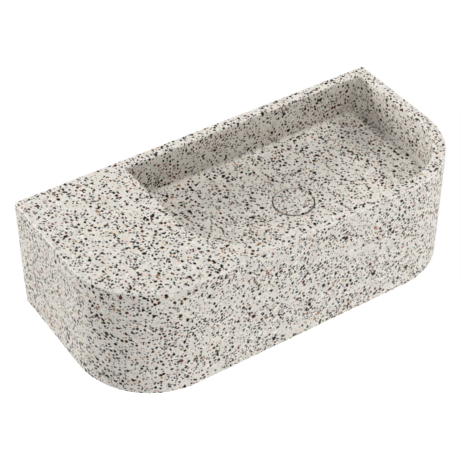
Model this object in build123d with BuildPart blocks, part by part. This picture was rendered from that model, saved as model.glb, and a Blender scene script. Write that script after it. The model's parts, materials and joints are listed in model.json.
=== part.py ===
from build123d import *
import os
from math import atan2, cos, degrees, pi, sin, tau

os.makedirs("parts", exist_ok=True)

# A terrazzo wall basin with a shelf on the left, a push-open waste and two hidden wall brackets.
# X runs along the wall to the right, Y into the wall, Z up, all in millimetres.
# The origin is the middle of the four wall screws, on the face of the wall.

# Casting, outside
basin_length = 650
basin_depth = 300
basin_height = 200
corner_radius = 130
edge_radius = 2

# Casting, shelf and bowl
shelf_width = 180
rim_width = 20
bowl_depth = 70
floor_back_radius = 2
cove_radius = 6
floor_fall = 9.5

# Casting, seat of the waste
recess_radius = 34
recess_depth = 16
recess_edge = 1.5
recess_slab = 10
boss_radius = 50
boss_height = 15
waste_hole_radius = 23

# Casting, hollow underneath
skirt_thickness = 22
hollow_radius = 12
shelf_slab = 30

# Waste body
flange_gap = 1
flange_seal_edge = 1
flange_seal_thickness = 2
flange_thickness = 3
tail_radius = 20.95
tail_length = 85
tail_wall = 2.2
trap_thread_length = 25
thread_relief_width = 2
thread_relief_depth = 1.2
seat_width = 3.25
web_drop = 21
web_height = 6
web_hub_radius = 13
web_arm_width = 5
web_arm_count = 3

# Fixing of the waste under the casting
underside_seal_thickness = 4
underside_seal_radius = 30
slip_washer_thickness = 1.5
slip_washer_radius = 29
backnut_height = 10
backnut_across_flats = 54
nut_bevel = 0.8

# Waste cap and plug
cap_gap = 2
cap_proud = 0.5
cap_edge_radius = 1
plate_clearance = 1
plate_thickness = 1.5
plate_radius = 27
plug_core_radius = 16
plug_lip_radius = 17.3
plug_lip_thickness = 1.5
plug_hub_radius = 8
plug_hub_drop = 4
seal_thickness = 3.5
seal_clearance = 0.45
plug_drop = 5

# Plunger and cartridge
cap_travel = 8
stem_radius = 4
locknut_height = 4
locknut_across_flats = 13
locknut_clearance = 2
running_clearance = 0.05
housing_radius = 10
housing_height = 40
housing_floor = 2
housing_bore_radius = 7.5
housing_drain_radius = 1.5
shoulder_radius = 12.5
shoulder_height = 2
hub_clearance = 0.1
bush_height = 4
collar_clearance = 0.3
collar_height = 5
collar_headroom = 1
cam_height = 6
cam_rib_width = 3
cam_rib_depth = 1.2
cam_rib_count = 4
cam_gap = 0.3
pin_radius = 2.5
pin_end_clearance = 4
cartridge_nut_height = 6
cartridge_nut_across_flats = 25

# Cartridge spring
spring_wire = 1
spring_radius = 5
spring_turns = 6
spring_arcs_per_turn = 4
spring_points_per_turn = 24

# Wall brackets
bracket_width = 40
bracket_thickness = 6
bracket_inset = 25
boss_to_bracket = 20
arm_end_gap = 68
gusset_thickness = 5
gusset_reach = 150
gusset_foot = 8
notch_clearance = 2
pad_thickness = 3
pad_edge = 2
wall_screw_rise = 44
wall_screw_radius = 5.5
wall_screw_drop = 13.5
leg_end = 16.5
shelf_hollow_margin = 3

# Bolts between brackets and casting
bolt_radius = 4
bolt_grip = 14
bolt_head_height = 5.3
bolt_head_across_flats = 13
bolt_back_setback = 70
bolt_front_setback = 30
arm_slot_length = 16
arm_slot_clearance = 0.5
washer_thickness = 1.6
washer_radius = 8.5
insert_radius = 6
insert_depth = 18
insert_thread_depth = 16

# A hexagon's corner radius over half its width across flats
hexagon_sides = 6
nut_corner_ratio = 1 / cos(pi / hexagon_sides)

# Selection of edges that lie on one level, and turns in degrees
level_tolerance = 0.01
quarter_turn = 90
full_turn = 360

# Levels, from the wall screws upwards to the rim
arm_bottom_z = wall_screw_rise / 2 + wall_screw_drop
arm_top_z = arm_bottom_z + bracket_thickness
ceiling_z = arm_top_z + pad_thickness
recess_floor_z = ceiling_z + recess_slab
drain_rim_z = recess_floor_z + recess_depth
bowl_floor_z = drain_rim_z + floor_fall
top_z = bowl_floor_z + bowl_depth
bottom_z = top_z - basin_height
boss_z = ceiling_z - boss_height

# Plan of the casting
left_x = -basin_length / 2
right_x = basin_length / 2
bowl_left_x = left_x + shelf_width
bowl_length = right_x - rim_width - bowl_left_x
bowl_width = basin_depth - 2 * rim_width
bowl_corner_radius = corner_radius - rim_width
bowl_back_radius = floor_back_radius + cove_radius
drain_x = bowl_left_x + bowl_length / 2
drain_y = -basin_depth / 2
hollow_length = basin_length - 2 * skirt_thickness
hollow_depth = basin_depth - 2 * skirt_thickness
hollow_corner_radius = corner_radius - skirt_thickness

# Levels of the waste
flange_radius = recess_radius - flange_gap
flange_bottom_z = recess_floor_z + flange_seal_thickness
flange_top_z = flange_bottom_z + flange_thickness
tail_bore_radius = tail_radius - tail_wall
seat_radius = tail_bore_radius + seat_width
tail_end_z = flange_bottom_z - tail_length
thread_relief_z = tail_end_z + trap_thread_length
web_top_z = flange_bottom_z - web_drop
web_bottom_z = web_top_z - web_height
slip_washer_top_z = boss_z - underside_seal_thickness
backnut_top_z = slip_washer_top_z - slip_washer_thickness

# Levels of cap, plunger and cartridge with the waste closed
plate_bottom_z = flange_top_z + plate_clearance
cap_bottom_z = plate_bottom_z + plate_thickness
cap_top_z = drain_rim_z + cap_proud
cap_radius = recess_radius - cap_gap
plug_lip_z = plate_bottom_z - plug_drop
plug_hub_z = plug_lip_z - plug_hub_drop
locknut_bottom_z = plug_hub_z - locknut_height
housing_top_z = locknut_bottom_z - locknut_clearance
housing_bottom_z = housing_top_z - housing_height
housing_floor_z = housing_bottom_z + housing_floor
bush_bottom_z = housing_top_z - bush_height
collar_radius = housing_bore_radius - collar_clearance
collar_top_z = bush_bottom_z - collar_headroom - cap_travel
collar_bottom_z = collar_top_z - collar_height
cam_top_z = collar_bottom_z - cam_gap
cam_bottom_z = cam_top_z - cam_height
pin_end_z = housing_floor_z + pin_end_clearance
spring_top_z = cam_bottom_z - cam_gap

# Places of brackets and bolts
left_bracket_x = bowl_left_x - bracket_inset
right_bracket_x = drain_x + boss_radius + boss_to_bracket + bracket_width / 2
arm_length = basin_depth - skirt_thickness - arm_end_gap
arm_slot_width = 2 * (bolt_radius + arm_slot_clearance)
notch_width = bracket_width + 2 * notch_clearance
shelf_hollow_right_x = left_bracket_x - bracket_width / 2 - shelf_hollow_margin
bolt_rows_y = (-bolt_back_setback, bolt_front_setback - arm_length)
bracket_places_x = (left_bracket_x, right_bracket_x)
bolt_places = [(x, y) for x in bracket_places_x for y in bolt_rows_y]

# Planes and axis of the waste: one level, one upright through its middle
waste_level = Plane(origin=(drain_x, drain_y, 0))
waste_section = Plane(origin=(drain_x, drain_y, 0), x_dir=(1, 0, 0), z_dir=(0, -1, 0))
waste_axis = Axis((drain_x, drain_y, 0), (0, 0, 1))

# Terrazzo casting: block with two round front corners, shelf, bowl and hollow underside
with BuildPart() as basin_body:
    with BuildSketch(Plane.XY.offset(bottom_z)) as block_outline:
        with Locations((0, -basin_depth / 2)):
            Rectangle(basin_length, basin_depth)
        fillet(block_outline.vertices().group_by(Axis.Y)[0], radius=corner_radius)
    extrude(amount=basin_height)
    fillet(basin_body.edges().filter_by(Axis.Z).group_by(Axis.Y)[-1], radius=edge_radius)

    # Bowl with upright walls and a cove along its floor
    with BuildSketch(Plane.XY.offset(top_z)) as bowl_mouth:
        with Locations((drain_x, drain_y)):
            Rectangle(bowl_length, bowl_width)
        fillet(bowl_mouth.vertices().group_by(Axis.Y)[0], radius=bowl_corner_radius)
        fillet(bowl_mouth.vertices().group_by(Axis.Y)[-1], radius=bowl_back_radius)
    extrude(amount=-bowl_depth, mode=Mode.SUBTRACT)
    bowl_floor_edges = basin_body.edges().filter_by_position(
        Axis.Z, bowl_floor_z - level_tolerance, bowl_floor_z + level_tolerance
    )
    fillet(bowl_floor_edges, radius=cove_radius)

    # Eased arrises round the top and round the underside
    for level in (top_z, bottom_z):
        arris = basin_body.edges().filter_by_position(
            Axis.Z, level - level_tolerance, level + level_tolerance
        )
        fillet(arris, radius=edge_radius)

    # Floor falling from the cove to the recess, divided where its corners point at the waste
    with BuildSketch(Plane.XY.offset(bowl_floor_z)) as floor_edge:
        with Locations((drain_x, drain_y)):
            Rectangle(bowl_length - 2 * cove_radius, bowl_width - 2 * cove_radius)
        fillet(
            floor_edge.vertices().group_by(Axis.Y)[0],
            radius=bowl_corner_radius - cove_radius,
        )
        fillet(
            floor_edge.vertices().group_by(Axis.Y)[-1],
            radius=floor_back_radius,
        )
    turns = sorted(
        degrees(atan2(corner.Y - drain_y, corner.X - drain_x)) for corner in floor_edge.vertices()
    )
    with BuildSketch(waste_level.offset(drain_rim_z)):
        with BuildLine():
            for start, end in zip(turns, turns[1:] + [turns[0] + full_turn]):
                CenterArc((0, 0), recess_radius + recess_edge, start, end - start)
        make_face()
    loft(ruled=True, mode=Mode.SUBTRACT)

    # Recess for the waste with an eased edge, and the hole for its tail
    with BuildSketch(waste_level.offset(drain_rim_z)):
        Circle(recess_radius + recess_edge)
    with BuildSketch(waste_level.offset(drain_rim_z - recess_edge)):
        Circle(recess_radius)
    loft(mode=Mode.SUBTRACT)
    with BuildSketch(waste_level.offset(recess_floor_z)):
        Circle(recess_radius)
    extrude(amount=recess_depth - recess_edge, mode=Mode.SUBTRACT)

    # Hollow underneath, deeper under the shelf
    with BuildSketch(Plane.XY.offset(bottom_z)) as hollow_outline:
        with Locations((0, -basin_depth / 2)):
            Rectangle(hollow_length, hollow_depth)
        fillet(hollow_outline.vertices().group_by(Axis.Y)[0], radius=hollow_corner_radius)
        fillet(hollow_outline.vertices().group_by(Axis.Y)[-1], radius=hollow_radius)
    extrude(amount=ceiling_z - bottom_z, mode=Mode.SUBTRACT)
    with BuildSketch(Plane.XY.offset(ceiling_z)) as shelf_hollow:
        with Locations((left_x + skirt_thickness, -basin_depth / 2)):
            Rectangle(
                shelf_hollow_right_x - left_x - skirt_thickness,
                hollow_depth,
                align=(Align.MIN, Align.CENTER),
            )
        shelf_corners = shelf_hollow.vertices().group_by(Axis.X)
        fillet(shelf_corners[0].sort_by(Axis.Y)[0], radius=hollow_corner_radius)
        fillet(shelf_corners[0].sort_by(Axis.Y)[-1], radius=hollow_radius)
        fillet(shelf_corners[-1], radius=hollow_radius)
    extrude(amount=top_z - shelf_slab - ceiling_z, mode=Mode.SUBTRACT)

    # Boss under the waste, holes for the tail and the inserts, notches for the bracket legs
    with BuildSketch(waste_level.offset(boss_z)):
        Circle(boss_radius)
    extrude(amount=boss_height)
    with BuildSketch(waste_level.offset(boss_z)):
        Circle(waste_hole_radius)
    extrude(amount=recess_floor_z - boss_z, mode=Mode.SUBTRACT)
    with BuildSketch(Plane.XY.offset(ceiling_z)):
        with Locations(*bolt_places):
            Circle(insert_radius)
    extrude(amount=insert_depth, mode=Mode.SUBTRACT)
    with BuildSketch(Plane.XY.offset(bottom_z)):
        with Locations(*[(x, 0) for x in bracket_places_x]):
            Rectangle(notch_width, 2 * skirt_thickness)
    extrude(amount=ceiling_z - bottom_z, mode=Mode.SUBTRACT)
basin_body.part.label = "basin_body"
export_step(basin_body.part, "parts/basin_body.step")

# Threaded inserts cast into the slab
with BuildPart() as bracket_inserts:
    with BuildSketch(Plane.XY.offset(ceiling_z)):
        with Locations(*bolt_places):
            Circle(insert_radius)
    extrude(amount=insert_depth)
    with BuildSketch(Plane.XY.offset(ceiling_z)):
        with Locations(*bolt_places):
            Circle(bolt_radius)
    extrude(amount=insert_thread_depth, mode=Mode.SUBTRACT)
bracket_inserts.part.label = "bracket_inserts"
export_step(bracket_inserts.part, "parts/bracket_inserts.step")

# Cantilever brackets and the rubber strips on their arms, gussets on the outer sides
for side, bracket_x, outward in (("left", left_bracket_x, -1), ("right", right_bracket_x, 1)):
    with BuildPart() as wall_bracket:
        with BuildSketch(Plane.YZ.offset(bracket_x)):
            with BuildLine():
                Polyline(
                    (0, -wall_screw_rise / 2 - leg_end),
                    (0, arm_top_z),
                    (-arm_length, arm_top_z),
                    (-arm_length, arm_bottom_z),
                    (-bracket_thickness, arm_bottom_z),
                    (-bracket_thickness, -wall_screw_rise / 2 - leg_end),
                    close=True,
                )
            make_face()
        extrude(amount=bracket_width / 2, both=True)
        with BuildSketch(Plane.YZ.offset(bracket_x + outward * (bracket_width - gusset_thickness) / 2)):
            with BuildLine():
                Polyline(
                    (-bracket_thickness, -wall_screw_rise / 2 - leg_end),
                    (-bracket_thickness, arm_bottom_z),
                    (-gusset_reach, arm_bottom_z),
                    (-gusset_reach, arm_bottom_z - gusset_foot),
                    (-bracket_thickness - gusset_foot, -wall_screw_rise / 2 - leg_end),
                    close=True,
                )
            make_face()
        extrude(amount=gusset_thickness / 2, both=True)
        with BuildSketch(Plane.XZ):
            with Locations(*[(bracket_x, z) for z in (-wall_screw_rise / 2, wall_screw_rise / 2)]):
                Circle(wall_screw_radius)
        extrude(amount=bracket_thickness, mode=Mode.SUBTRACT)
        with BuildSketch(Plane.XY.offset(arm_bottom_z)):
            with Locations(*[(bracket_x, y) for y in bolt_rows_y]):
                SlotOverall(arm_slot_length, arm_slot_width, rotation=quarter_turn)
        extrude(amount=bracket_thickness, mode=Mode.SUBTRACT)
    wall_bracket.part.label = f"wall_bracket_{side}"
    export_step(wall_bracket.part, f"parts/wall_bracket_{side}.step")

    with BuildPart() as bracket_pad:
        with BuildSketch(Plane.XY.offset(arm_top_z)):
            with Locations((bracket_x, -skirt_thickness - pad_edge)):
                Rectangle(
                    bracket_width - 2 * pad_edge,
                    arm_length - skirt_thickness - 2 * pad_edge,
                    align=(Align.CENTER, Align.MAX),
                )
            with Locations(*[(bracket_x, y) for y in bolt_rows_y]):
                SlotOverall(
                    arm_slot_length,
                    arm_slot_width,
                    rotation=quarter_turn,
                    mode=Mode.SUBTRACT,
                )
        extrude(amount=pad_thickness)
    bracket_pad.part.label = f"bracket_pad_{side}"
    export_step(bracket_pad.part, f"parts/bracket_pad_{side}.step")

# Washers under the arms
with BuildPart() as bracket_washers:
    with BuildSketch(Plane.XY.offset(arm_bottom_z - washer_thickness)):
        with Locations(*bolt_places):
            Circle(washer_radius)
            Circle(arm_slot_width / 2, mode=Mode.SUBTRACT)
    extrude(amount=washer_thickness)
bracket_washers.part.label = "bracket_washers"
export_step(bracket_washers.part, "parts/bracket_washers.step")

# Hexagon bolts from below into the inserts
bolt_seat_z = arm_bottom_z - washer_thickness
with BuildPart() as bracket_bolts:
    with BuildSketch(Plane.XY.offset(bolt_seat_z - bolt_head_height)):
        with Locations(*bolt_places):
            RegularPolygon(bolt_head_across_flats / 2, hexagon_sides, major_radius=False)
    extrude(amount=bolt_head_height)
    with BuildSketch(Plane.XY.offset(bolt_seat_z)):
        with Locations(*bolt_places):
            Circle(bolt_radius)
    extrude(amount=ceiling_z + bolt_grip - bolt_seat_z)
bracket_bolts.part.label = "bracket_bolts"
export_step(bracket_bolts.part, "parts/bracket_bolts.step")

# Waste body: flange with conical seat, tail with a relief between its two threads, and a web
# that carries the cartridge
with BuildPart() as waste_body:
    with BuildSketch(waste_section):
        with BuildLine():
            Polyline(
                (tail_bore_radius, tail_end_z),
                (tail_radius, tail_end_z),
                (tail_radius, thread_relief_z),
                (tail_radius - thread_relief_depth, thread_relief_z),
                (tail_radius - thread_relief_depth, thread_relief_z + thread_relief_width),
                (tail_radius, thread_relief_z + thread_relief_width),
                (tail_radius, flange_bottom_z),
                (flange_radius, flange_bottom_z),
                (flange_radius, flange_top_z),
                (seat_radius, flange_top_z),
                (tail_bore_radius, flange_top_z - seat_width),
                close=True,
            )
        make_face()
    revolve(axis=waste_axis)
    with BuildSketch(waste_level.offset(web_bottom_z)):
        Circle(web_hub_radius)
        with PolarLocations(0, web_arm_count):
            Rectangle(tail_radius - tail_wall / 2, web_arm_width, align=(Align.MIN, Align.CENTER))
        Circle(housing_radius + hub_clearance, mode=Mode.SUBTRACT)
    extrude(amount=web_height)
waste_body.part.label = "waste_body"
export_step(waste_body.part, "parts/waste_body.step")

# Rubber ring between flange and recess
with BuildPart() as flange_seal:
    with BuildSketch(waste_level.offset(recess_floor_z)):
        Circle(flange_radius - flange_seal_edge)
        Circle(waste_hole_radius, mode=Mode.SUBTRACT)
    extrude(amount=flange_seal_thickness)
flange_seal.part.label = "flange_seal"
export_step(flange_seal.part, "parts/flange_seal.step")

# Rubber ring under the boss, its inner edge bevelled towards the hole
with BuildPart() as underside_seal:
    with BuildSketch(waste_section):
        with BuildLine():
            Polyline(
                (tail_radius, slip_washer_top_z),
                (underside_seal_radius, slip_washer_top_z),
                (underside_seal_radius, boss_z),
                (waste_hole_radius, boss_z),
                (tail_radius, boss_z + waste_hole_radius - tail_radius),
                close=True,
            )
        make_face()
    revolve(axis=waste_axis)
underside_seal.part.label = "underside_seal"
export_step(underside_seal.part, "parts/underside_seal.step")

# Plastic washer on which the backnut turns
with BuildPart() as slip_washer:
    with BuildSketch(waste_level.offset(backnut_top_z)):
        Circle(slip_washer_radius)
        Circle(tail_radius, mode=Mode.SUBTRACT)
    extrude(amount=slip_washer_thickness)
slip_washer.part.label = "slip_washer"
export_step(slip_washer.part, "parts/slip_washer.step")

# Nuts with bevelled corners: name, across flats, hole radius, height and bottom level
nuts = (
    ("backnut", backnut_across_flats, tail_radius, backnut_height, backnut_top_z - backnut_height),
    (
        "cartridge_nut",
        cartridge_nut_across_flats,
        housing_radius,
        cartridge_nut_height,
        web_bottom_z - cartridge_nut_height,
    ),
    ("stem_locknut", locknut_across_flats, stem_radius, locknut_height, locknut_bottom_z),
)
for nut_name, across_flats, hole_radius, nut_height, nut_bottom_z in nuts:
    with BuildPart() as nut:
        with BuildSketch(waste_level.offset(nut_bottom_z)):
            RegularPolygon(across_flats / 2, hexagon_sides, major_radius=False)
        extrude(amount=nut_height)
        with BuildSketch(waste_section):
            with BuildLine():
                Polyline(
                    (0, nut_bottom_z),
                    (across_flats / 2, nut_bottom_z),
                    (across_flats / 2 * nut_corner_ratio, nut_bottom_z + nut_bevel),
                    (across_flats / 2 * nut_corner_ratio, nut_bottom_z + nut_height - nut_bevel),
                    (across_flats / 2, nut_bottom_z + nut_height),
                    (0, nut_bottom_z + nut_height),
                    close=True,
                )
            make_face()
        revolve(axis=waste_axis, mode=Mode.INTERSECT)
        with BuildSketch(waste_level.offset(nut_bottom_z)):
            Circle(hole_radius)
        extrude(amount=nut_height, mode=Mode.SUBTRACT)
    nut.part.label = nut_name
    export_step(nut.part, f"parts/{nut_name}.step")

# Terrazzo disc over the waste
with BuildPart() as waste_cap:
    with BuildSketch(waste_level.offset(cap_bottom_z)):
        Circle(cap_radius)
    extrude(amount=cap_top_z - cap_bottom_z)
    fillet(waste_cap.edges().group_by(Axis.Z)[-1], radius=cap_edge_radius)
waste_cap.part.label = "waste_cap"
export_step(waste_cap.part, "parts/waste_cap.step")

# Moulded plug under the disc: plate, core with a groove for the seal, threaded hub
with BuildPart() as cap_carrier:
    with BuildSketch(waste_section):
        with BuildLine():
            Polyline(
                (0, cap_bottom_z),
                (plate_radius, cap_bottom_z),
                (plate_radius, plate_bottom_z),
                (plug_core_radius, plate_bottom_z),
                (plug_core_radius, plug_lip_z + plug_lip_thickness),
                (plug_lip_radius, plug_lip_z + plug_lip_thickness),
                (plug_lip_radius, plug_lip_z),
                (plug_hub_radius, plug_lip_z),
                (plug_hub_radius, plug_hub_z),
                (stem_radius, plug_hub_z),
                (stem_radius, plate_bottom_z),
                (0, plate_bottom_z),
                close=True,
            )
        make_face()
    revolve(axis=waste_axis)
cap_carrier.part.label = "cap_carrier"
export_step(cap_carrier.part, "parts/cap_carrier.step")

# Rubber ring of the plug, bevelled like the seat it closes on
seal_bottom_z = plate_bottom_z - seal_thickness
seal_top_radius = seat_radius - seal_clearance
with BuildPart() as plug_seal:
    with BuildSketch(waste_section):
        with BuildLine():
            Polyline(
                (plug_core_radius, seal_bottom_z),
                (seal_top_radius - flange_top_z + seal_bottom_z, seal_bottom_z),
                (seal_top_radius, flange_top_z),
                (seal_top_radius, plate_bottom_z),
                (plug_core_radius, plate_bottom_z),
                close=True,
            )
        make_face()
    revolve(axis=waste_axis)
plug_seal.part.label = "plug_seal"
export_step(plug_seal.part, "parts/plug_seal.step")

# Plunger: threaded stem, collar and the pin inside the spring
with BuildPart() as plunger:
    with BuildSketch(waste_section):
        with BuildLine():
            Polyline(
                (0, plate_bottom_z),
                (stem_radius, plate_bottom_z),
                (stem_radius, collar_top_z),
                (collar_radius, collar_top_z),
                (collar_radius, collar_bottom_z),
                (pin_radius, collar_bottom_z),
                (pin_radius, pin_end_z),
                (0, pin_end_z),
                close=True,
            )
        make_face()
    revolve(axis=waste_axis)
plunger.part.label = "plunger"
export_step(plunger.part, "parts/plunger.step")

# Latch cam: ring on the pin with ribs that ride in the barrel
with BuildPart() as latch_cam:
    with BuildSketch(waste_level.offset(cam_bottom_z)):
        Circle(collar_radius - cam_rib_depth)
        with PolarLocations(0, cam_rib_count):
            Rectangle(collar_radius, cam_rib_width, align=(Align.MIN, Align.CENTER))
        Circle(pin_radius + running_clearance, mode=Mode.SUBTRACT)
    extrude(amount=cam_height)
latch_cam.part.label = "latch_cam"
export_step(latch_cam.part, "parts/latch_cam.step")

# Barrel of the cartridge with its shoulder on the web
with BuildPart() as cartridge_housing:
    with BuildSketch(waste_section):
        with BuildLine():
            Polyline(
                (housing_drain_radius, housing_bottom_z),
                (housing_radius, housing_bottom_z),
                (housing_radius, web_top_z),
                (shoulder_radius, web_top_z),
                (shoulder_radius, web_top_z + shoulder_height),
                (housing_radius, web_top_z + shoulder_height),
                (housing_radius, housing_top_z),
                (housing_bore_radius, housing_top_z),
                (housing_bore_radius, housing_floor_z),
                (housing_drain_radius, housing_floor_z),
                close=True,
            )
        make_face()
    revolve(axis=waste_axis)
cartridge_housing.part.label = "cartridge_housing"
export_step(cartridge_housing.part, "parts/cartridge_housing.step")

# Bush that closes the barrel and guides the stem
with BuildPart() as guide_bush:
    with BuildSketch(waste_level.offset(bush_bottom_z)):
        Circle(housing_bore_radius)
        Circle(stem_radius + running_clearance, mode=Mode.SUBTRACT)
    extrude(amount=bush_height)
guide_bush.part.label = "guide_bush"
export_step(guide_bush.part, "parts/guide_bush.step")

# Spring of the cartridge, wound from arcs of a quarter turn
spring_start_z = housing_floor_z + spring_wire / 2
spring_pitch = (spring_top_z - spring_wire / 2 - spring_start_z) / spring_turns


def on_coil(turn):
    """The point of the coil's middle line after this many turns."""
    return (
        drain_x + spring_radius * cos(tau * turn),
        drain_y + spring_radius * sin(tau * turn),
        spring_start_z + spring_pitch * turn,
    )


with BuildPart() as cartridge_spring:
    with BuildLine() as coil:
        for arc in range(spring_arcs_per_turn * spring_turns):
            ThreePointArc(*[on_coil((arc + part) / spring_arcs_per_turn) for part in (0, 1 / 2, 1)])
    with BuildSketch(Plane(origin=coil.line @ 0, z_dir=coil.line % 0)):
        Circle(spring_wire / 2)
    sweep()
cartridge_spring.part.label = "cartridge_spring"
export_step(cartridge_spring.part, "parts/cartridge_spring.step")

# Least gap between the coil's turns, measured between points at least half a turn apart
coil_points = [
    Vector(*on_coil(step / spring_points_per_turn))
    for step in range(spring_points_per_turn * spring_turns + 1)
]
turn_distance = min(
    (other - point).length
    for place, point in enumerate(coil_points)
    for other in coil_points[place + spring_points_per_turn // 2 :]
)
print(f"cartridge_spring: least gap between turns {turn_distance - spring_wire:.2f} mm")
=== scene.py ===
import json
import math

import bmesh
import bpy
import numpy as np
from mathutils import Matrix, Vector


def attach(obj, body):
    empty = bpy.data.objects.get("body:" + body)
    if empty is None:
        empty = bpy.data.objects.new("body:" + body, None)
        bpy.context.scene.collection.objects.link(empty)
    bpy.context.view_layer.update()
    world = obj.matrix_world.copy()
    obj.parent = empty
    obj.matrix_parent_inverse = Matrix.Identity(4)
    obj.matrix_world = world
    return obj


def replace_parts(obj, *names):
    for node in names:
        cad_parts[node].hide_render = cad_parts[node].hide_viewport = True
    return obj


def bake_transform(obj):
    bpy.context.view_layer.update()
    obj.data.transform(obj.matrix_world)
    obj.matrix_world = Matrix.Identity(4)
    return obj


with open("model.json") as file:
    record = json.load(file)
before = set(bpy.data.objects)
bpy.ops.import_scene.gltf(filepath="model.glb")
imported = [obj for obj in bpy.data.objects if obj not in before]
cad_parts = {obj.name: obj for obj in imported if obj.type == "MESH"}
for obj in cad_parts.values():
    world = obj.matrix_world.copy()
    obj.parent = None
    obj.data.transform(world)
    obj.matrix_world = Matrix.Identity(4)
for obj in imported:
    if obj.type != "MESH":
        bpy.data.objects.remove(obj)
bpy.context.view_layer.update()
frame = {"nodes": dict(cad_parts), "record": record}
nodes = frame["nodes"]
scene = bpy.context.scene
mm = 0.001
drain = (80, -150)  # the waste's axis, in millimetres
print("frame loaded:", len(nodes), "nodes")


# Shader maths: a term wraps one socket, and sums of terms add Math nodes


class Term:
    def __init__(self, shader, socket):
        self.shader = shader
        self.socket = socket

    def maths(self, operation, *others, clamp=False):
        settings = {"operation": operation, "use_clamp": clamp}
        return self.shader.add("ShaderNodeMath", settings, [self, *others])

    def __add__(self, other):
        return self.maths("ADD", other)

    def __sub__(self, other):
        return self.maths("SUBTRACT", other)

    def __rsub__(self, other):
        return self.shader.add("ShaderNodeMath", {"operation": "SUBTRACT"}, [other, self])

    def __mul__(self, other):
        return self.maths("MULTIPLY", other)

    def __pow__(self, other):
        return self.maths("POWER", other)

    def __neg__(self):
        return self * -1

    def __lt__(self, other):
        return self.maths("LESS_THAN", other)

    def __gt__(self, other):
        return self.maths("GREATER_THAN", other)

    __radd__ = __add__
    __rmul__ = __mul__

    # 0 below low, 1 above high, a straight climb between
    def ramp(self, low, high):
        return (self - low).maths("MULTIPLY", 1 / (high - low), clamp=True)

    # another output of the same node
    def out(self, name):
        return Term(self.shader, self.socket.node.outputs[name])


class Shader:
    def __init__(self, tree):
        self.tree = tree

    # one node of any type: its settings first, then the values or links of its sockets
    def add(self, kind, settings=None, values=(), output=0):
        node = self.tree.nodes.new(kind)
        for key, value in (settings or {}).items():
            if key == "stops":
                self.setStops(node.color_ramp, value)
            else:
                setattr(node, key, value)
        pairs = values.items() if isinstance(values, dict) else enumerate(values)
        for key, value in pairs:
            if isinstance(value, Term):
                self.tree.links.new(value.socket, node.inputs[key])
            else:
                node.inputs[key].default_value = value
        return Term(self, node.outputs[output])

    def setStops(self, ramp, stops):
        ramp.interpolation = "CONSTANT"
        while len(ramp.elements) > 1:
            ramp.elements.remove(ramp.elements[0])
        ramp.elements[0].position = stops[0][0]
        ramp.elements[0].color = rgba(stops[0][1])
        for position, colour in stops[1:]:
            ramp.elements.new(position).color = rgba(colour)

    # 1 on rays from the camera, metal or glass, 0 on those that light the object
    def seen(self):
        rays = self.add("ShaderNodeLightPath")
        shiny, through = rays.out("Is Glossy Ray"), rays.out("Is Transmission Ray")
        return rays.out("Is Camera Ray").maths("MAXIMUM", shiny).maths("MAXIMUM", through)


class Paint(Shader):
    def __init__(self, name, **constants):
        self.material = bpy.data.materials.new(name)
        self.material.use_nodes = True
        super().__init__(self.material.node_tree)
        self.tree.nodes.clear()
        self.surface = self.tree.nodes.new("ShaderNodeBsdfPrincipled")
        self.output = self.tree.nodes.new("ShaderNodeOutputMaterial")
        self.tree.links.new(self.surface.outputs[0], self.output.inputs["Surface"])
        for key, value in constants.items():
            self.surface.inputs[key.replace("_", " ")].default_value = value
        self.place = self.add("ShaderNodeTexCoord").out("Object")

    # stays with a where the factor is 0 and becomes b where it is 1
    def mix(self, factor, a, b, blend="MIX"):
        settings = {"data_type": "RGBA", "blend_type": blend, "clamp_factor": True}
        values = {0: factor, 6: self.colour(a), 7: self.colour(b)}
        return self.add("ShaderNodeMix", settings, values, output=2)

    def colour(self, value):
        return value if isinstance(value, Term) else rgba(value)

    def noise(self, perMetre, detail=2.0, roughness=0.5, place=None):
        values = {"Vector": place or self.place, "Scale": perMetre}
        values.update({"Detail": detail, "Roughness": roughness})
        return self.add("ShaderNodeTexNoise", {"noise_dimensions": "3D"}, values)

    # the place, shifted by a noise's colour times some metres
    def wobbled(self, perMetre, detail, metres):
        values = [self.noise(perMetre, detail).out("Color"), (metres,) * 3, self.place]
        return self.add("ShaderNodeVectorMath", {"operation": "MULTIPLY_ADD"}, values)

    def cells(self, perMetre, feature="F1", place=None, randomness=1.0):
        settings = {"voronoi_dimensions": "3D", "feature": feature}
        values = {"Vector": place or self.place, "Scale": perMetre, "Randomness": randomness}
        return self.add("ShaderNodeTexVoronoi", settings, values)

    # three chances between 0 and 1 for each cell, in Red, Green and Blue
    def chances(self, cells):
        return self.add("ShaderNodeSeparateColor", None, [cells.out("Color")])

    # cells as the distance to the middle and the distance to the edge, with their chances
    def crushed(self, perMetre, place, randomness=1.0):
        middle = self.cells(perMetre, place=place, randomness=randomness)
        edge = self.cells(perMetre, "DISTANCE_TO_EDGE", place=place, randomness=randomness)
        return middle, edge, self.chances(middle)

    # one of the stones' colours, by a chance
    def stone(self, stones, chance):
        return self.add("ShaderNodeValToRGB", {"stops": stones}, {"Fac": chance})

    # relief in metres
    def relief(self, height, strength):
        values = {"Height": height, "Strength": strength, "Distance": 1.0}
        return self.add("ShaderNodeBump", None, values)

    def connect(self, **sockets):
        for key, term in sockets.items():
            self.tree.links.new(term.socket, self.surface.inputs[key.replace("_", " ")])
        return self.material


# an sRGB colour, 0 to 255, as the linear values that shaders use
def rgba(colour):
    linear = [(c / 255 / 12.92) if c <= 10 else ((c / 255 + 0.055) / 1.055) ** 2.4 for c in colour]
    return (*linear, 1.0)


# an object that holds the data, in the scene
def addObject(name, data):
    item = bpy.data.objects.new(name, data)
    scene.collection.objects.link(item)
    return item


# Terrazzo: cement with stones. Each stone's colour is taken from its chance up to the next one's

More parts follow.
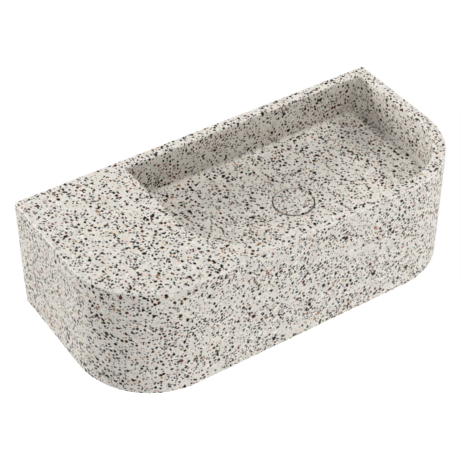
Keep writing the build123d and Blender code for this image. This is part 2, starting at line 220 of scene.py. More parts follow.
darkStones = (
    (0.00, (24, 16, 6)),
    (0.34, (42, 29, 13)),
    (0.56, (66, 48, 26)),
    (0.66, (33, 28, 16)),
    (0.79, (92, 72, 46)),
    (0.82, (86, 43, 40)),
    (0.88, (114, 65, 60)),
    (0.915, (168, 121, 88)),
    (0.94, (188, 160, 112)),
    (0.97, (122, 116, 100)),
)
smallStones = (
    (0.00, (34, 24, 12)),
    (0.44, (84, 63, 40)),
    (0.56, (134, 102, 74)),
    (0.66, (164, 138, 110)),
    (0.77, (116, 112, 96)),
    (0.87, (156, 119, 102)),
    (0.93, (38, 30, 24)),
)
paleStones = (
    (0.00, (237, 224, 214)),
    (0.26, (221, 226, 215)),
    (0.42, (235, 213, 200)),
    (0.60, (230, 222, 201)),
    (0.76, (211, 206, 197)),
    (0.88, (246, 243, 238)),
)

# the block's mixture. Layers of chips, the largest first: cells per metre, share of the cells
# kept, least and most gap round a chip in cells, stretch and turn of the cells
terrazzo = {
    "matrix": (234, 230, 223),
    "matrixDark": (224, 220, 213),
    "layers": (
        {
            "stones": darkStones, "perMetre": 118, "share": 0.18,
            "gap": (0.13, 0.29), "stretch": (1.0, 1.2, 0.9), "turn": 0.4,
        },
        {
            "stones": darkStones, "perMetre": 165, "share": 0.71,
            "gap": (0.105, 0.285), "stretch": (1.1, 0.9, 1.0), "turn": 1.9,
        },
        {
            "stones": smallStones, "perMetre": 290, "share": 0.32,
            "gap": (0.05, 0.19), "stretch": (0.9, 1.0, 1.1), "turn": 3.1,
        },
    ),
    "speckPerMetre": 640,
    "speckShare": 0.14,
    "speckStrength": 0.6,
    # the bare cement of the hollow, and a painted highlight on the top outer edge and in the cove
    # round the bowl's floor
    "casting": {
        "light": (201, 197, 190),
        "dark": (184, 180, 173),
        "streakPerMetre": 24,
        "streakRelief": 0.0008,
        "dust": (212, 209, 203),
        "dustPerMetre": 420,
        "dustStrength": 0.4,
        "dustRelief": 0.00012,
        "hole": (138, 134, 128),
        "holesPerMetre": 130,
        "holeSize": 0.22,
        "holeShare": 0.4,
        "holeStrength": 0.8,
        "holeRelief": 0.0008,
        "thinPerMetre": 70,
        "thinStrength": 0.45,
        "rougher": 0.36,
        # painted highlight: the pale colour laid on the top outer edge and the cove, where light
        # would catch them
        "edge": (246, 243, 238),
        "edgeHighlightStrength": 0.6,
    },
}

# the waste cap's mixture
fineTerrazzo = {
    "matrix": (233, 229, 223),
    "matrixDark": (223, 219, 213),
    "layers": (
        {
            "stones": darkStones, "perMetre": 172, "share": 0.58,
            "gap": (0.08, 0.25), "stretch": (1.0, 1.2, 0.9), "turn": 0.9,
        },
        {
            "stones": smallStones, "perMetre": 340, "share": 0.40,
            "gap": (0.05, 0.20), "stretch": (0.9, 1.0, 1.1), "turn": 2.6,
        },
    ),
    "speckPerMetre": 800,
    "speckShare": 0.14,
    "speckStrength": 0.5,
}

# what both mixtures share
polished = {
    "specular": 0.1,
    "roughness": 0.44,
    "chipSmoother": 0.10,
    "cloudRougher": 0.05,
    "relief": 0.6,
    "wobblePerMetre": 500,
    "wobble": 0.0005,
    "cloudPerMetre": 60,
    "palePerMetre": 150,
    "paleGap": 0.12,
    "paleShare": 0.55,
    "paleStrength": 0.85,
    "speckSize": 0.42,
    "chipRandomness": 0.85,
    "chipBall": 0.62,
    "chipRelief": 0.00002,
    "veinsPerMetre": 1400,
    "veinStrength": 0.2,
    "poresPerMetre": 330,
    "poreSize": 0.16,
    "poreShare": 0.08,
    "poreRelief": 0.00025,
    "poreColour": (150, 146, 140),
    "poreStrength": 0.5,
}

# where the block's faces lie, in metres, for the masks of its hollow and of the painted highlights
# on its edges
block = {
    "cornerDepth": 0.17,
    "half": 0.195,
    "hollowRadius": 0.119,
    "hollowBack": 0.011,
    "hollowLow": -0.0497,
    "hollowHigh": 0.0495,
    "shelfLeft": -0.169,
    "shelfRise": 0.0855,
    "edgeRadius": 0.1283,
    "edgeLow": 0.1484,
    "bowlMiddle": 0.08,
    "bowlHalf": 0.115,
    "bowlRadius": 0.11,
    "bowlBack": 0.02,
    "coveWidth": 0.005,
    "coveFade": 0.0015,
    "coveOut": -0.002,
    "coveLow": 0.07,
    "coveHigh": 0.0852,
    # how strongly the highlight is painted in the cove
    "coveHighlightStrength": 0.6,
}


# how far a point lies out from the block's middle, seen from above: the hypotenuse of
# max(|x - middle| - half, 0) and max(-y - cornerDepth, 0), which is the same all along a wall
# that goes round the two front corners
def planDistance(x, y, middle, half):
    along = ((x - middle).maths("ABSOLUTE") - half).maths("MAXIMUM", 0.0)
    outward = (-y - block["cornerDepth"]).maths("MAXIMUM", 0.0)
    return (along * along + outward * outward) ** 0.5


# 1 on the bare casting of the hollow: within its walls and below the slabs
def hollowMask(x, y, z):
    inside = planDistance(x, y, 0.0, block["half"]) < block["hollowRadius"]
    slab = block["hollowHigh"] + (x < block["shelfLeft"]) * block["shelfRise"]
    return inside * (y < -block["hollowBack"]) * (z > block["hollowLow"]) * (z < slab)


# 1 where a highlight is painted: the top outer edge and the cove round the bowl's floor, which
#                                 catch the light
def paintedHighlightMask(x, y, z):
    outer = (planDistance(x, y, 0.0, block["half"]) > block["edgeRadius"]) * (z > block["edgeLow"])
    corners = block["bowlRadius"] - planDistance(x, y, block["bowlMiddle"], block["bowlHalf"])
    wall = corners.maths("MINIMUM", -y - block["bowlBack"])
    cove = (block["coveWidth"] - wall).ramp(0.0, block["coveFade"]) * (wall > block["coveOut"])
    cove = cove * (z < block["coveHigh"]) * (z > block["coveLow"])
    return outer.maths("MAXIMUM", cove * block["coveHighlightStrength"])


# pale cement with soft patches, and pale chips that hardly stand out
def paleCement(paint, place, look, cloud):
    cement = paint.mix(cloud.ramp(0.42, 0.62), look["matrix"], look["matrixDark"])
    middle, edge, chances = paint.crushed(polished["palePerMetre"], place)
    kept = chances.out("Red") < polished["paleShare"]
    chip = (edge - polished["paleGap"]).ramp(0.0, 0.05) * kept
    stone = paint.stone(paleStones, chances.out("Green"))
    return paint.mix(chip * polished["paleStrength"], cement, stone)


# specks are small balls in the middle of some cells
def addSpecks(paint, place, look, colour):
    middle = paint.cells(look["speckPerMetre"], place=place)
    chances = paint.chances(middle)
    speck = (chances.out("Red") < look["speckShare"]) * (middle < polished["speckSize"])
    stone = paint.stone(smallStones, chances.out("Green"))
    return paint.mix(speck * look["speckStrength"], colour, stone)


# chips of one size: a chip is its cell less a gap all round, with its far corners cut off by a
# ball, and is kept by chance
def chipLayer(paint, place, layer):
    turn = layer["turn"]
    values = {"Vector": place, "Rotation": (turn, 2 * turn, 0.5 * turn), "Scale": layer["stretch"]}
    stretched = paint.add("ShaderNodeMapping", {"vector_type": "POINT"}, values)
    middle, edge, chances = paint.crushed(layer["perMetre"], stretched, polished["chipRandomness"])
    least, most = layer["gap"]
    gap = chances.out("Blue") * (most - least) + least
    shape = (edge - gap).maths("MINIMUM", polished["chipBall"] - gap - middle).ramp(0.0, 0.02)
    chip = shape * (chances.out("Red") < layer["share"])
    return chip, paint.stone(layer["stones"], chances.out("Green"))


# chips from the smallest to the largest; where two overlap, the darker one shows
def addChips(paint, place, look, colour):
    veins = paint.noise(polished["veinsPerMetre"]).out("Color")
    covered = None
    for layer in reversed(look["layers"]):
        chip, stone = chipLayer(paint, place, layer)
        veined = paint.mix(polished["veinStrength"], stone, veins, "OVERLAY")
        colour = paint.mix(chip, colour, veined, "DARKEN")
        covered = chip if covered is None else covered.maths("MAXIMUM", chip)
    return colour, covered


# cement skin with mould marks and air holes, through which a few chips show, and a painted
# highlight on the top outer edge and the cove
def addCastingAndHighlight(paint, cast, colour, rough, height):
    x = paint.add("ShaderNodeSeparateXYZ", None, [paint.place], "X")
    y, z = x.out("Y"), x.out("Z")
    hollow = hollowMask(x, y, z)
    streak = paint.noise(cast["streakPerMetre"], 5.0, 0.65)
    dust = paint.noise(cast["dustPerMetre"], 3.0)
    skin = paint.mix(streak.ramp(0.35, 0.65), cast["light"], cast["dark"])
    skin = paint.mix(dust.ramp(0.45, 0.75) * cast["dustStrength"], skin, cast["dust"])
    middle = paint.cells(cast["holesPerMetre"])
    chances = paint.chances(middle)
    hole = (chances.out("Green") * cast["holeSize"] - middle).ramp(0.0, 0.05)
    hole = hole * (chances.out("Red") < cast["holeShare"])
    skin = paint.mix(hole * cast["holeStrength"], skin, cast["hole"])
    thin = paint.noise(cast["thinPerMetre"], 3.0).ramp(0.58, 0.70) * cast["thinStrength"]
    # painted highlight on the top outer edge and the cove round the bowl's floor
    colour = paint.mix(paintedHighlightMask(x, y, z) * cast["edgeHighlightStrength"], colour, cast["edge"])
    colour = paint.mix(hollow * (1 - thin), colour, skin)
    relief = streak * cast["streakRelief"] + dust * cast["dustRelief"] - hole * cast["holeRelief"]
    return colour, rough + hollow * cast["rougher"], height + hollow * relief


# polished terrazzo: pale cement, specks and chips, a few pores between the chips, and the bare
# casting with painted edge highlights where a mixture has one. Pores are balls in the middle of
# some cells
def makeTerrazzo(name, look):
    paint = Paint(name, Specular_IOR_Level=polished["specular"])
    place = paint.wobbled(polished["wobblePerMetre"], 2.0, polished["wobble"])
    cloud = paint.noise(polished["cloudPerMetre"], 3.0)
    colour = addSpecks(paint, place, look, paleCement(paint, place, look, cloud))
    colour, covered = addChips(paint, place, look, colour)
    rough = polished["roughness"] - covered * polished["chipSmoother"]
    rough = rough + cloud * polished["cloudRougher"]
    middle = paint.cells(polished["poresPerMetre"])
    kept = (paint.chances(middle).out("Red") < polished["poreShare"]) * (1 - covered)
    pore = (polished["poreSize"] - middle).ramp(0.0, 0.1) * kept
    colour = paint.mix(pore * polished["poreStrength"], colour, polished["poreColour"])
    height = covered * polished["chipRelief"] - pore * polished["poreRelief"]
    if "casting" in look:
        colour, rough, height = addCastingAndHighlight(paint, look["casting"], colour, rough, height)
    normal = paint.relief(height, polished["relief"])
    return paint.connect(Base_Color=colour, Roughness=rough, Normal=normal)


terrazzoPaint = makeTerrazzo("terrazzo_polished", terrazzo)
fineTerrazzoPaint = makeTerrazzo("terrazzo_fine_polished", fineTerrazzo)
print("terrazzo made")


# Metals, rubber and plastics of the fittings

metals = {
    "brass": {
        "colour": (196, 152, 82), "stain": (128, 88, 46),
        "roughness": (0.24, 0.46), "marks": 2600,
    },
    "chrome": {
        "colour": (226, 228, 230), "stain": (196, 199, 202),
        "roughness": (0.07, 0.20), "marks": 3200,
    },
    "stainless": {
        "colour": (190, 189, 186), "stain": (164, 162, 158),
        "roughness": (0.22, 0.38), "marks": 2200,
    },
    "zinc": {
        "colour": (196, 200, 206), "stain": (172, 168, 148),
        "roughness": (0.26, 0.44), "marks": 1500,
    },
}
turning = {
    "patchPerMetre": 110,
    "patchStrength": 0.55,
    "spotsPerMetre": 900,
    "spotStrength": 0.35,
    "ringShare": 0.4,  # of the roughness; the patches make up the rest
    "ringRelief": 0.00002,
    "relief": 0.5,
}
moulded = {
    "blackRubber": {
        "colour": (34, 34, 35), "bloom": (72, 71, 69), "roughness": (0.66, 0.88),
        "grain": 1800, "relief": 0.00006,
    },
    "whitePlastic": {
        "colour": (234, 232, 226), "bloom": (222, 219, 210), "roughness": (0.34, 0.50),
        "grain": 2600, "relief": 0.00002,
    },
    "blackPlastic": {
        "colour": (36, 37, 39), "bloom": (50, 51, 53), "roughness": (0.38, 0.58),
        "grain": 2200, "relief": 0.00003,
    },
}
moulding = {"patchPerMetre": 75, "relief": 0.6}
galvanised = {
    "light": (194, 196, 196),
    "dark": (158, 160, 162),
    "perMetre": 95,
    "wobblePerMetre": 180,
    "wobble": 0.004,
    "crystalRelief": 0.00002,
    "bloom": (214, 214, 210),
    "bloomPerMetre": 60,
    "bloomStrength": 0.6,
    "roughness": 0.34,
    "rougher": 0.2,  # at the most, by the crystal and once more by the bloom
    "grainPerMetre": 700,
    "grainRelief": 0.00003,
    "metallic": 0.9,
    "relief": 0.6,
}


# turned metal: the marks are noise on (distance from the drain's axis, 0, height), so they run
# in rings, and the stains are soft patches and spots. Noise keeps clear of 0 and 1, so the
# roughness is stretched from least - 0.2 to least + 1.4 times the span, to reach both its ends
def makeMetal(name, look):
    paint = Paint(name, Metallic=1.0)
    values = [paint.place, (1, 1, 0), (-drain[0] * mm, -drain[1] * mm, 0)]
    flat = paint.add("ShaderNodeVectorMath", {"operation": "MULTIPLY_ADD"}, values)
    radius = paint.add("ShaderNodeVectorMath", {"operation": "LENGTH"}, [flat], "Value")
    height = paint.add("ShaderNodeSeparateXYZ", None, [paint.place], "Z")
    ringPlace = paint.add("ShaderNodeCombineXYZ", None, {"X": radius, "Z": height})
    rings = paint.noise(look["marks"], 3.0, place=ringPlace)
    patch = paint.noise(turning["patchPerMetre"], 4.0, 0.6)
    spots = (paint.noise(turning["spotsPerMetre"]) - 0.66).ramp(0.0, 0.08)
    stained = patch.ramp(0.46, 0.68) * turning["patchStrength"] + spots * turning["spotStrength"]
    colour = paint.mix(stained, look["colour"], look["stain"])
    least, most = look["roughness"]
    span = most - least
    uneven = patch * (1 - turning["ringShare"]) + rings * turning["ringShare"]
    rough = uneven * span * 1.6 + (least - 0.2 * span)
    normal = paint.relief(rings * turning["ringRelief"], turning["relief"])
    return paint.connect(Base_Color=colour, Roughness=rough, Normal=normal)


# moulded rubber or plastic: a fine grain stands in relief and a paler bloom lies in patches
def makeMoulded(name, look):
    paint = Paint(name)
    patch = paint.noise(moulding["patchPerMetre"], 4.0, 0.6)
    grain = paint.noise(look["grain"], 3.0, 0.6)
    bloom = patch.ramp(0.44, 0.72) * (0.4 + grain * 0.6)
    colour = paint.mix(bloom, look["colour"], look["bloom"])
    least, most = look["roughness"]
    rough = least + (patch * 0.5 + grain * 0.5) * (most - least)
    normal = paint.relief(grain * look["relief"], moulding["relief"])
    return paint.connect(Base_Color=colour, Roughness=rough, Normal=normal)


# hot-dip zinc: crystals are cells of their own grey and roughness, with a paler bloom in patches
def makeGalvanised(name, look):
    paint = Paint(name, Metallic=look["metallic"])
    place = paint.wobbled(look["wobblePerMetre"], 3.0, look["wobble"])
    middle, edge, chances = paint.crushed(look["perMetre"], place)
    bloom = paint.noise(look["bloomPerMetre"], 5.0, 0.65).ramp(0.52, 0.72)
    colour = paint.mix(chances.out("Red"), look["dark"], look["light"])
    colour = paint.mix(bloom * look["bloomStrength"], colour, look["bloom"])
    rough = look["roughness"] + (chances.out("Green") + bloom) * look["rougher"]
    grain = paint.noise(look["grainPerMetre"])
    height = edge.ramp(0.0, 0.1) * look["crystalRelief"] + grain * look["grainRelief"]
    normal = paint.relief(height, look["relief"])
    return paint.connect(Base_Color=colour, Roughness=rough, Normal=normal)


finishes = {
    "terrazzo": terrazzoPaint,
    "terrazzo_fine": fineTerrazzoPaint,
    "brass": makeMetal("brass_turned", metals["brass"]),
    "stainless_steel": makeMetal("stainless_turned", metals["stainless"]),
    "chromed_brass": makeMetal("chrome_on_brass", metals["chrome"]),
    "zinc_plated_steel": makeMetal("zinc_plating", metals["zinc"]),
    "galvanised_steel": makeGalvanised("hot_dip_zinc", galvanised),
    "black_rubber": makeMoulded("rubber_black", moulded["blackRubber"]),
    "white_plastic": makeMoulded("plastic_white", moulded["whitePlastic"]),
    "black_plastic": makeMoulded("plastic_black", moulded["blackPlastic"]),
}
slotOf = {part["node"]: part["material_slot"] for part in frame["record"]["subparts"]}
bodies = frame["record"]["behaviour"]["bodies"]
bodyOf = {node: body for body, held in bodies.items() for node in held}
for node, item in nodes.items():
    item.data.materials.clear()
    item.data.materials.append(finishes[slotOf[node]])
print("finishes made")


# New pieces: surfaces worked out with numpy, in millimetres, each standing for one CAD node

grid = {
    "easeSteps": 4,
    "flatStep": 0.35,
    "threadSteps": 10,
    "around": 96,
    "aroundSmall": 48,
    "merge": 0.000002,  # metres
    "flatAngle": 0.01,  # radians
    "sharp": 40,  # degrees
}


# count angles, evenly round the circle
def anglesRound(count):
    return np.linspace(0, 2 * math.pi, count, endpoint=False)


# a circle as a profile: point (r cos a, r sin a) at angle a
def circle(radius, count):
    a = anglesRound(count)
    return radius * np.stack([np.cos(a), np.sin(a)], 1)


# an outline with eased corners: a and b lie on both sides of corner c, ease away from it, and
# the parabola (1 - t)^2 a + 2 t (1 - t) c + t^2 b joins them
def easedOutline(corners, ease):
    c = np.array(corners, float)
    before, after = np.roll(c, 1, 0) - c, np.roll(c, -1, 0) - c
    if c[0, 0] == 0:  # from axis to axis, so its two ends stay
        before[0] = after[-1] = 0
    cuts = []
    for sides in (before, after):
        length = np.maximum(np.hypot(sides[:, 0], sides[:, 1]), 1e-9)[:, None]
        cuts.append(c + sides / length * np.minimum(ease, 0.45 * length))
    a, b = cuts
    t = np.linspace(0, 1, grid["easeSteps"])[None, :, None]
    eased = (1 - t) ** 2 * a[:, None] + 2 * t * (1 - t) * c[:, None] + t**2 * b[:, None]
    return eased.reshape(-1, 2)


# more points along an outline: straight between its own points, step apart between low and high
def finerOutline(outline, step, low=-math.inf, high=math.inf):
    around = np.vstack([outline, outline[:1]]) if outline[0, 0] > 0 else outline
    length = np.concatenate([[0], np.cumsum(np.hypot(*np.diff(around, axis=0).T))])
    extra = np.arange(0, length[-1], step)
    z = np.interp(extra, length, around[:, 1])
    places = np.unique(np.concatenate([length, extra[(z > low) & (z < high)]]))
    r, z = np.interp(places, length, around[:, 0]), np.interp(places, length, around[:, 1])
    return np.stack([r, z], 1)[: -1 if outline[0, 0] > 0 else None]


# a turned piece: outline point (r, z) at angle a lies at (x + r cos a, y + r sin a, z). With
# flats, r is at most flats / 2 / cos(a mod 60 - 30), and where it is at the radius of a thread
# it loses depth (1 - cos(360 z / pitch - a)) / 2, fading in and out over a pitch
def turned(look, centre, count):
    outline = easedOutline(look["outline"], look["ease"])
    thread, flats = look.get("thread"), look.get("flats")
    if flats:
        outline = finerOutline(outline, grid["flatStep"])
    if thread:
        step = thread["pitch"] / grid["threadSteps"]
        outline = finerOutline(outline, step, thread["low"], thread["high"])
    a = anglesRound(count)[:, None]
    r, z = outline[:, 0] + 0 * a, outline[:, 1] + 0 * a
    if flats:
        r = np.minimum(r, flats / 2 / np.cos(a % (math.pi / 3) - math.pi / 6))
    if thread:
        wave = (1 - np.cos(2 * math.pi * (z / thread["pitch"]) - a)) / 2
        fade = np.clip((z - thread["low"]) / thread["pitch"], 0, 1)
        fade = fade * np.clip((thread["high"] - z) / thread["pitch"], 0, 1)
        r = r - thread["depth"] * wave * fade * (np.abs(r - thread["radius"]) < 0.01)
    points = np.stack([centre[0] + r * np.cos(a), centre[1] + r * np.sin(a), z], -1)
    return points, True, outline[0, 0] > 0


# a profile carried along a path: its point (u, v) at path point p lies at
# p + size (u across + v up), and a size of 0 at an end closes it
def carried(profile, path, across, up, size):
    u, v = profile[None, :, :1], profile[None, :, 1:]
    points = path[:, None] + size[:, None, None] * (u * across[:, None] + v * up[:, None])
    return points, False, True


# quads between neighbours in a grid of points, joined round where a way is closed
def gridQuads(shape, closedRows, closedColumns):
    index = np.arange(shape[0] * shape[1]).reshape(shape[:2])
    if closedRows:
        index = np.vstack([index, index[:1]])
    if closedColumns:
        index = np.hstack([index, index[:, :1]])
    corners = [index[:-1, :-1], index[1:, :-1], index[1:, 1:], index[:-1, 1:]]
    return np.stack(corners, -1).reshape(-1, 4)


# one mesh from grids of points in millimetres
def makePiece(name, surfaces, body, slot, sharp=grid["sharp"]):
    points, quads, start = [], [], 0
    for surface, closedRows, closedColumns in surfaces:
        points.append(surface.reshape(-1, 3) * mm)
        quads.append(gridQuads(surface.shape, closedRows, closedColumns) + start)
        start += surface.shape[0] * surface.shape[1]
    mesh = bpy.data.meshes.new(name)
    mesh.from_pydata(np.concatenate(points), [], np.concatenate(quads).tolist())
    return finishPiece(name, mesh, body, slot, sharp)


# doubles and poles merged, faces outwards, smooth but for sharp corners, and the piece given its
# finish and its body, but for the spring
def finishPiece(name, mesh, body, slot, sharp, flat=False):
    shell = bmesh.new()
    shell.from_mesh(mesh)
    bmesh.ops.remove_doubles(shell, verts=shell.verts, dist=grid["merge"])
    if flat:
        bmesh.ops.dissolve_limit(
            shell, angle_limit=grid["flatAngle"], verts=shell.verts, edges=shell.edges
        )
    bmesh.ops.recalc_face_normals(shell, faces=shell.faces)
    shell.to_mesh(mesh)
    shell.free()
    mesh.shade_smooth()
    mesh.set_sharp_from_angle(angle=math.radians(sharp))
    mesh.materials.clear()
    mesh.materials.append(finishes[slot])
    piece = addObject(name, mesh)
    if body:
        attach(piece, body)
    return piece


boltPlaces = ((-170, -70), (-170, -180), (170, -70), (170, -180))

# outlines as (distance from the axis, height); those that start on the axis are solid
turnedPieces = {
    "waste_turned": {
        "node": "waste_body",
        "outline": (
            (18.75, -28.5), (20.95, -28.5), (20.95, -3.5), (19.75, -3.5), (19.75, -1.5),
            (20.95, -1.5), (20.95, 56.5), (33, 56.5), (33, 59.5), (22, 59.5), (18.75, 56.25),
        ),
        "ease": 0.6,
        "thread": {"radius": 20.95, "pitch": 2.309, "depth": 1.05, "low": -28.3, "high": 53},
    },
    "backnut_threaded": {
        "node": "backnut",
        "outline": ((20.95, 14), (27, 14), (31.18, 14.8), (31.18, 23.2), (27, 24), (20.95, 24)),
        "ease": 0.3,
        "flats": 54,
    },
    "cartridge_nut_bevelled": {
        "node": "cartridge_nut",
        "outline": (
            (10, 23.5), (12.5, 23.5), (14.434, 24.3), (14.434, 28.7), (12.5, 29.5), (10, 29.5),
        ),
        "ease": 0.3,
        "flats": 25,
    },
    "stem_locknut_bevelled": {
        "node": "stem_locknut",
        "outline": ((4, 47.5), (6.5, 47.5), (7.506, 48.3), (7.506, 50.7), (6.5, 51.5), (4, 51.5)),
        "ease": 0.2,
        "flats": 13,
    },
    "bolts_hexagon": {
        "node": "bracket_bolts",
        "outline": (
            (0, 28.6), (6.2, 28.6), (7.506, 29.3), (7.506, 33.9), (4, 33.9), (4, 58.5), (0, 58.5),
        ),
        "ease": 0.3,
        "flats": 13,
        "centres": boltPlaces,
    },
    "washers_pressed": {
        "node": "bracket_washers",
        "outline": ((4.5, 33.9), (8.5, 33.9), (8.5, 35.5), (4.5, 35.5)),
        "ease": 0.45,
        "centres": boltPlaces,
    },
    "slip_washer_eased": {
        "node": "slip_washer",
        "outline": ((20.95, 24), (29, 24), (29, 25.5), (20.95, 25.5)),
        "ease": 0.5,
    },
    "underside_seal_eased": {
        "node": "underside_seal",
        "outline": ((20.95, 25.5), (30, 25.5), (30, 29.5), (23, 29.5), (20.95, 31.55)),
        "ease": 0.9,
    },
    "flange_seal_eased": {
        "node": "flange_seal",
        "outline": ((23, 54.5), (32, 54.5), (32, 56.5), (23, 56.5)),
        "ease": 0.8,
    },
    "plug_seal_eased": {
        "node": "plug_seal",
        "outline": ((16, 57), (19.05, 57), (21.55, 59.5), (21.55, 60.5), (16, 60.5)),
        "ease": 0.5,
    },
    "plug_moulded": {
        "node": "cap_carrier",
        "outline": (
            (0, 62), (27, 62), (27, 60.5), (16, 60.5), (16, 57), (17.3, 57), (17.3, 55.5),
            (8, 55.5), (8, 51.5), (4, 51.5), (4, 60.5), (0, 60.5),
        ),
        "ease": 0.4,
    },
    "plunger_threaded": {
        "node": "plunger",
        "outline": (
            (0, 60.5), (4, 60.5), (4, 32.5), (7.2, 32.5), (7.2, 27.5), (2.5, 27.5),
            (2.5, 11.5), (0, 11.5),
        ),
        "ease": 0.4,
        "thread": {"radius": 4, "pitch": 1.25, "depth": 0.5, "low": 45.8, "high": 60},
    },
    "cartridge_barrel": {
        "node": "cartridge_housing",
        "outline": (
            (1.5, 5.5), (10, 5.5), (10, 35.5), (12.5, 35.5), (12.5, 37.5), (10, 37.5),
            (10, 45.5), (7.5, 45.5), (7.5, 7.5), (1.5, 7.5),
        ),
        "ease": 0.8,
        "thread": {"radius": 10, "pitch": 1.5, "depth": 0.6, "low": 9, "high": 34},
    },
    "guide_bush_eased": {
        "node": "guide_bush",
        "outline": ((4.05, 41.5), (7.5, 41.5), (7.5, 45.5), (4.05, 45.5)),
        "ease": 0.4,
    },
}

# the web inside the waste: a hub ring and arms that reach into the tail's wall
web = {
    "hub": {"outline": ((10.1, 29.5), (13, 29.5), (13, 35.5), (10.1, 35.5)), "ease": 0.8},
    "arms": 3,
    "from": 12.3,
    "to": 19.6,
    "height": 32.5,
    "section": ((-2.5, -3), (2.5, -3), (2.5, 3), (-2.5, 3)),
    "ease": 1.0,
}


# an arm at angle a: its section carried outwards along (cos a, sin a)
def webArm(look, turn):
    a = 2 * math.pi * turn / look["arms"]
    outwards = np.array((math.cos(a), math.sin(a), 0))
    r = np.array((look["from"], look["from"], look["to"], look["to"]))[:, None]
    path = np.array((*drain, look["height"])) + r * outwards
    across = np.tile((-math.sin(a), math.cos(a), 0), (4, 1))
    up = np.tile((0.0, 0.0, 1.0), (4, 1))
    section = easedOutline(look["section"], look["ease"])
    return carried(section, path, across, up, np.array((0.0, 1.0, 1.0, 0.0)))


for name, look in turnedPieces.items():
    node = look["node"]
    centres = look.get("centres", (drain,))
    count = grid["around" if len(centres) == 1 else "aroundSmall"]
    grids = [turned(look, centre, count) for centre in centres]
    if node == "waste_body":
        grids.append(turned(web["hub"], drain, count))
        grids += [webArm(web, turn) for turn in range(web["arms"])]
    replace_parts(makePiece(name, grids, bodyOf[node], slotOf[node]), node)
print("turned pieces made:", len(turnedPieces))

# the spring runs from the barrel's floor up to the plunger
spring = {
    "radius": 5, "wire": 0.5, "low": 8.0, "high": 20.4, "turns": 6, "perTurn": 40, "wireAround": 12,
}


# a round wire carried along the coil p(t) = (x + r cos t, y + r sin t, low + rise t)
def springCoil(look):
    t = np.linspace(0, 2 * math.pi * look["turns"], look["turns"] * look["perTurn"] + 1)
    rise = (look["high"] - look["low"]) / t[-1]
    around = np.stack([np.cos(t), np.sin(t), 0 * t], 1)
    coil = np.array((*drain, 0)) + look["radius"] * around
    coil[:, 2] = look["low"] + rise * t
    coil[0], coil[-1] = coil[1], coil[-2]
    up = np.tile((0.0, 0.0, 1.0), (len(t), 1))
    size = np.ones_like(t)
    size[0] = size[-1] = 0
    return carried(circle(look["wire"], look["wireAround"]), coil, around, up, size)


springPiece = makePiece("spring_coil", [springCoil(spring)], None, slotOf["cartridge_spring"])
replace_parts(springPiece, "cartridge_spring")
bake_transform(springPiece)

# brackets and their rubber strips: the CAD plates with eased edges
plates = {"bracketEase": 0.0007, "padEase": 0.0005, "segments": 2, "bevelFrom": 40, "sharp": 35}
for node in ("wall_bracket_left", "wall_bracket_right", "bracket_pad_left", "bracket_pad_right"):
    name, mesh, sharp = node + "_eased", nodes[node].data.copy(), plates["sharp"]
    piece = finishPiece(name, mesh, bodyOf[node], slotOf[node], sharp, flat=True)
    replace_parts(piece, node)
    bevel = piece.modifiers.new("eased_edges", "BEVEL")
    bevel.width = plates["bracketEase" if "wall" in node else "padEase"]
    bevel.segments = plates["segments"]
    bevel.limit_method = "ANGLE"
    bevel.angle_limit = math.radians(plates["bevelFrom"])

# weld beads of a bracket: gusset and plate are distances from the basin's middle
bead = {
    "radius": 1.9,
    "ripple": 0.08,
    "rippleStep": 1.7,
    "taper": 2.0,
    "pointStep": 0.4,
    "around": 14,
    "sharp": 80,
    "gusset": 185,
    "plate": 170,
    "plateHalf": 18.5,
    "legFace": -6,
    "armFace": 35.5,
    "armEnd": -148,
    "legEnd": -36,
    "gap": 3,  # between two beads that meet
}


# a circle of radius r (1 + ripple cos(2 pi s / step)) at the distance s along a corner, its size
# the root of a straight taper over the first and last millimetres
def weldBead(start, end, across, up):
    start, end = np.array(start, float), np.array(end, float)
    length = np.linalg.norm(end - start)
    s = np.linspace(0, length, int(length / bead["pointStep"]) + 2)
    ends = np.clip(np.minimum(s, length - s) / bead["taper"], 0, 1) ** 0.5
    size = ends * (1 + bead["ripple"] * np.cos(2 * math.pi * s / bead["rippleStep"]))
    path = start + (end - start) * (s / length)[:, None]
    ways = [np.tile(np.array(way, float), (len(s), 1)) for way in (across, up)]
    return carried(circle(bead["radius"], bead["around"]), path, *ways, size)


for side, outward in (("left", -1), ("right", 1)):
    gusset, plate = outward * bead["gusset"], outward * bead["plate"]
    leg, arm, gap = bead["legFace"], bead["armFace"], bead["gap"]
    left, right = plate - bead["plateHalf"], plate + bead["plateHalf"]
    grids = [
        weldBead((gusset, leg - gap, arm), (gusset, bead["armEnd"], arm), (1, 0, 0), (0, 0, 1)),
        weldBead((gusset, leg, arm - gap), (gusset, leg, bead["legEnd"]), (1, 0, 0), (0, 1, 0)),
        weldBead((left, leg, arm), (right, leg, arm), (0, 1, 0), (0, 0, 1)),
    ]
    makePiece("weld_beads_" + side, grids, "basin", "galvanised_steel", bead["sharp"])
print("brackets and spring made")


# Camera and light

cameraView = {
    "place": (-0.96622, -1.55281, 1.51724),
    "turn": (49.248, -0.026, -33.424),  # degrees about X, Y and Z
    "lens": 112.80,
    "sensor": 36.0,
}
camera = addObject("camera", bpy.data.cameras.new("camera"))
camera.data.lens = cameraView["lens"]
camera.data.sensor_width = cameraView["sensor"]
camera.location = cameraView["place"]
camera.rotation_euler = [math.radians(angle) for angle in cameraView["turn"]]
scene.camera = camera

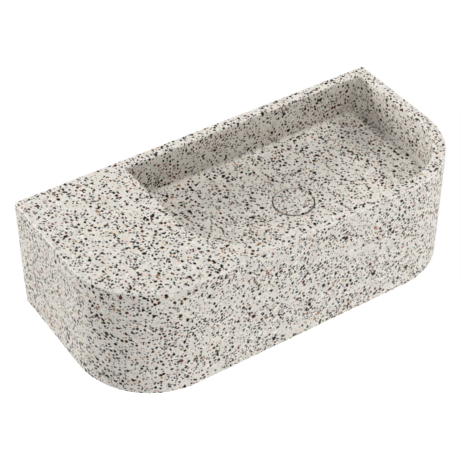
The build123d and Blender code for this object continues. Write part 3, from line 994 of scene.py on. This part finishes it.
lightRig = {
    "aim": (0.0, -0.15, 0.05),
    "away": 3.0,
    # azimuth and elevation in degrees, size in metres, power in watts
    "lamps": (
        ("lamp_left_back", -140, 20, 1.8, 62),
        ("lamp_back", -180, 32, 1.8, 12),
        ("lamp_left", -60, 8, 1.8, 29),
        ("lamp_front", 0, -12, 1.8, 8),
        ("lamp_front_middle", 20, 8, 1.8, 19),
        ("lamp_front_right", 40, -12, 1.8, 32),
        ("lamp_right_high", 90, 45, 0.9, 26),
        ("lamp_right_top", 90, 74, 0.9, 25),
    ),
    "sky": 0.14,
}
for name, azimuth, elevation, across, power in lightRig["lamps"]:
    a, e = math.radians(azimuth), math.radians(elevation)
    outwards = Vector((math.sin(a) * math.cos(e), -math.cos(a) * math.cos(e), math.sin(e)))
    lamp = addObject(name, bpy.data.lights.new(name, "AREA"))
    lamp.data.shape = "DISK"
    lamp.data.size = across
    lamp.data.energy = power
    lamp.location = Vector(lightRig["aim"]) + outwards * lightRig["away"]
    lamp.rotation_mode = "QUATERNION"
    lamp.rotation_quaternion = outwards.to_track_quat("Z", "Y")

# the world is white where the camera, metal or glass sees it, and dim elsewhere
scene.world = bpy.data.worlds.new("studio")
scene.world.use_nodes = True
sky = Shader(scene.world.node_tree)
background = sky.tree.nodes["Background"]
background.inputs["Color"].default_value = (1, 1, 1, 1)
strength = sky.seen().maths("MAXIMUM", lightRig["sky"])
sky.tree.links.new(strength.socket, background.inputs["Strength"])

# the floor: a pale disc well below, white where it is seen and lit, and clear from below
floorLook = {
    "centre": (0, -0.15, -0.85),
    "radius": 1.0,
    "around": 96,
    "colour": (232, 231, 229),
    "roughness": 0.9,
    "glow": 0.42,
}


# a flat disc in metres: its edge lies at (x + r cos a, y + r sin a)
def makeDisc(name, look):
    edge = circle(look["radius"], look["around"])
    points = np.array(look["centre"]) + np.hstack([edge, 0 * edge[:, :1]])
    mesh = bpy.data.meshes.new(name)
    mesh.from_pydata(points.tolist(), [], [list(range(look["around"]))])
    return addObject(name, mesh)


floor = makeDisc("floor", floorLook)
floorColour = rgba(floorLook["colour"])
floorPaint = Paint("floor_white", Base_Color=floorColour, Roughness=floorLook["roughness"])
shine = {"Color": (1, 1, 1, 1), "Strength": floorPaint.seen() * floorLook["glow"]}
glow = floorPaint.add("ShaderNodeEmission", None, shine)
plain = Term(floorPaint, floorPaint.surface.outputs[0])
lit = floorPaint.add("ShaderNodeAddShader", None, [plain, glow])
below = floorPaint.add("ShaderNodeNewGeometry", None, (), "Backfacing")
clear = floorPaint.add("ShaderNodeBsdfTransparent")
whole = floorPaint.add("ShaderNodeMixShader", None, [below, lit, clear])
floorPaint.tree.links.new(whole.socket, floorPaint.output.inputs["Surface"])
floor.data.materials.append(floorPaint.material)
print("studio ready")

bpy.context.scene.view_settings.view_transform = "Standard"

print("scene ready")
